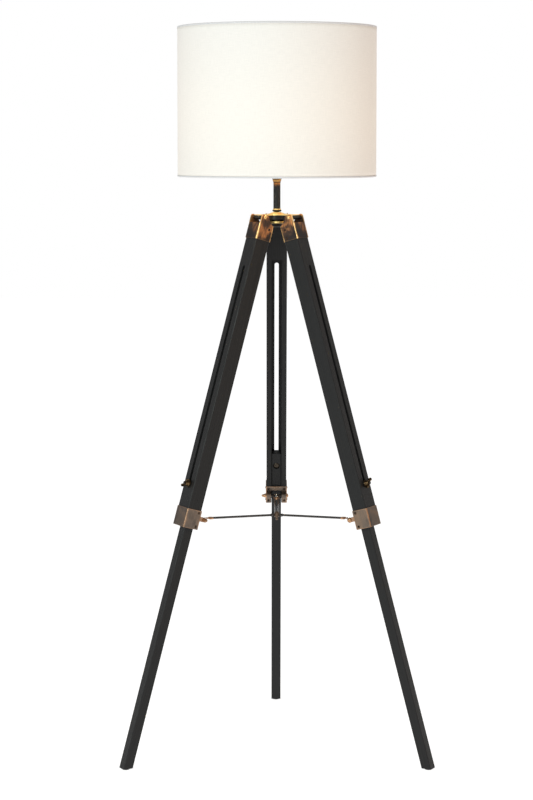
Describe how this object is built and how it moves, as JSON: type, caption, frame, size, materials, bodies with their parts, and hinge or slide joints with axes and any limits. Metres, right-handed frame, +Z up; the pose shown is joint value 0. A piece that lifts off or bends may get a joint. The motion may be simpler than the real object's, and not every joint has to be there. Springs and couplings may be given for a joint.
{
  "type": "tripod floor lamp",
  "caption": "Floor lamp with a fabric drum shade on a short stem and a folding wooden tripod with sliding lower legs and a hinged brace.",
  "frame": {"origin": "on the floor under the stem, at the middle of the circle that the three feet stand on", "axes": "+Z up along the stem, +X to the right and +Y towards the rear leg, seen from the front, where two legs stand"},
  "size_m": [0.6242, 0.5552, 1.466],
  "materials": {
    "black_wood": "matt black stained wood with a faint grain",
    "bronze_sheet": "antique bronze patina with copper edges",
    "bronze_cast": "dark antique bronze, cast",
    "copper_trim": "aged copper",
    "bronze_screw": "dark bronze",
    "nickel": "bright nickel",
    "gunmetal": "dark oiled steel",
    "black_metal": "satin black",
    "insulator": "unglazed",
    "white_wire": "white powder coat",
    "shade_fabric": "white cotton on a translucent liner",
    "black_plastic": "matt",
    "bulb_glass": "opal, lit warm"
  },
  "bodies": {
    "stand": {"head_casting": "bronze_cast", "head_lower_disc": "bronze_cast", "head_flange": "bronze_cast", "stem_collar_lower": "copper_trim", "stem_collar_upper": "copper_trim", "bulb_cap": "nickel", "head_lock_nut": "gunmetal", "threaded_tube": "gunmetal", "stem_tube": "black_metal", "lamp_holder_base": "black_metal", "lamp_holder_shell": "black_metal", "shade_clamp_ring": "black_metal", "lamp_holder_core": "insulator", "shade_spider": "white_wire", "shade_top_ring": "white_wire", "shade_drum": "shade_fabric", "cable_gland": "black_plastic", "bulb_glass": "bulb_glass"},
    "leg_left": {"upper_leg_left": "black_wood", "leg_cap_left": "bronze_sheet", "leg_screws_left": "bronze_screw", "pivot_bolt_left": "copper_trim", "leg_bracket_left": "bronze_sheet", "brace_bolt_left": "copper_trim"},
    "slider_left": {"lower_leg_left": "black_wood", "clamp_bolt_left": "gunmetal", "foot_glide_left": "black_plastic"},
    "nut_left": {"wing_nut_left": "gunmetal"},
    "chain_left": {"brace_chain_left": "nickel"},
    "leg_right": {"upper_leg_right": "black_wood", "leg_cap_right": "bronze_sheet", "leg_screws_right": "bronze_screw", "pivot_bolt_right": "copper_trim", "leg_bracket_right": "bronze_sheet", "brace_bolt_right": "copper_trim"},
    "slider_right": {"lower_leg_right": "black_wood", "clamp_bolt_right": "gunmetal", "foot_glide_right": "black_plastic"},
    "nut_right": {"wing_nut_right": "gunmetal"},
    "chain_right": {"brace_chain_right": "nickel"},
    "leg_rear": {"upper_leg_rear": "black_wood", "leg_cap_rear": "bronze_sheet", "leg_screws_rear": "bronze_screw", "pivot_bolt_rear": "copper_trim", "leg_bracket_rear": "bronze_sheet", "brace_bolt_rear": "copper_trim"},
    "slider_rear": {"lower_leg_rear": "black_wood", "clamp_bolt_rear": "gunmetal", "foot_glide_rear": "black_plastic"},
    "nut_rear": {"wing_nut_rear": "gunmetal"},
    "chain_rear": {"brace_chain_rear": "nickel"},
    "hub": {"brace_hub": "bronze_cast"},
    "arm_left": {"brace_arm_left": "gunmetal", "brace_ferrule_left": "copper_trim"},
    "arm_right": {"brace_arm_right": "gunmetal", "brace_ferrule_right": "copper_trim"},
    "arm_rear": {"brace_arm_rear": "gunmetal", "brace_ferrule_rear": "copper_trim"}
  },
  "joints": [
    {"name": "leg_left_fold", "type": "hinge", "parent": "stand", "child": "leg_left", "pos_m": [-0.03377, -0.0195, 1.085], "axis": [0.5, -0.866, 0], "range_deg": [0, 11]},
    {"name": "leg_right_fold", "type": "hinge", "parent": "stand", "child": "leg_right", "pos_m": [0.03377, -0.0195, 1.085], "axis": [0.5, 0.866, 0], "range_deg": [0, 11]},
    {"name": "leg_rear_fold", "type": "hinge", "parent": "stand", "child": "leg_rear", "pos_m": [0, 0.039, 1.085], "axis": [-1, 0, 0], "range_deg": [0, 11]},
    {"name": "lower_leg_left_slide", "type": "slide", "parent": "leg_left", "child": "slider_left", "axis": [0.2431, 0.1403, 0.9598], "range_m": [0, 0.43]},
    {"name": "wing_nut_left_turn", "type": "hinge", "parent": "slider_left", "child": "nut_left", "pos_m": [-0.17659, -0.10196, 0.55811], "axis": [-0.8312, -0.4799, 0.2807], "range_deg": [0, 360]},
    {"name": "lower_leg_right_slide", "type": "slide", "parent": "leg_right", "child": "slider_right", "axis": [-0.2431, 0.1403, 0.9598], "range_m": [0, 0.43]},
    {"name": "wing_nut_right_turn", "type": "hinge", "parent": "slider_right", "child": "nut_right", "pos_m": [0.17659, -0.10196, 0.55811], "axis": [0.8312, -0.4799, 0.2807], "range_deg": [0, 360]},
    {"name": "lower_leg_rear_slide", "type": "slide", "parent": "leg_rear", "child": "slider_rear", "axis": [0, -0.2807, 0.9598], "range_m": [0, 0.43]},
    {"name": "wing_nut_rear_turn", "type": "hinge", "parent": "slider_rear", "child": "nut_rear", "pos_m": [0, 0.20391, 0.55811], "axis": [0, 0.9598, 0.2807], "range_deg": [0, 360]},
    {"name": "brace_hub_drop", "type": "slide", "parent": "stand", "child": "hub", "axis": [0, 0, -1], "range_m": [0, 0.146]},
    {"name": "brace_arm_left_lift", "type": "hinge", "parent": "hub", "child": "arm_left", "pos_m": [-0.01039, -0.006, 0.477], "axis": [-0.5, 0.866, 0], "range_deg": [0, 76.5]},
    {"name": "brace_chain_left_swing", "type": "hinge", "parent": "leg_left", "child": "chain_left", "pos_m": [-0.155, -0.08949, 0.48518], "axis": [0.5, -0.866, 0], "range_deg": [0, 5], "deforming": ["brace_chain_left"]},
    {"name": "brace_arm_right_lift", "type": "hinge", "parent": "hub", "child": "arm_right", "pos_m": [0.01039, -0.006, 0.477], "axis": [-0.5, -0.866, 0], "range_deg": [0, 76.5]},
    {"name": "brace_chain_right_swing", "type": "hinge", "parent": "leg_right", "child": "chain_right", "pos_m": [0.155, -0.08949, 0.48518], "axis": [0.5, 0.866, 0], "range_deg": [0, 5], "deforming": ["brace_chain_right"]},
    {"name": "brace_arm_rear_lift", "type": "hinge", "parent": "hub", "child": "arm_rear", "pos_m": [0, 0.012, 0.477], "axis": [1, 0, 0], "range_deg": [0, 76.5]},
    {"name": "brace_chain_rear_swing", "type": "hinge", "parent": "leg_rear", "child": "chain_rear", "pos_m": [0, 0.17898, 0.48518], "axis": [-1, 0, 0], "range_deg": [0, 5], "deforming": ["brace_chain_rear"]}
  ],
  "couplings": [
    {"joint": "leg_right_fold", "follows": "leg_left_fold", "ratio": 1},
    {"joint": "leg_rear_fold", "follows": "leg_left_fold", "ratio": 1},
    {"joint": "brace_hub_drop", "follows": "leg_left_fold", "m_per_rad": 0.7563},
    {"joint": "brace_arm_left_lift", "follows": "leg_left_fold", "ratio": 6.9},
    {"joint": "brace_chain_left_swing", "follows": "leg_left_fold", "ratio": 0.369},
    {"joint": "brace_arm_right_lift", "follows": "leg_left_fold", "ratio": 6.9},
    {"joint": "brace_chain_right_swing", "follows": "leg_left_fold", "ratio": 0.369},
    {"joint": "brace_arm_rear_lift", "follows": "leg_left_fold", "ratio": 6.9},
    {"joint": "brace_chain_rear_swing", "follows": "leg_left_fold", "ratio": 0.369}
  ]
}
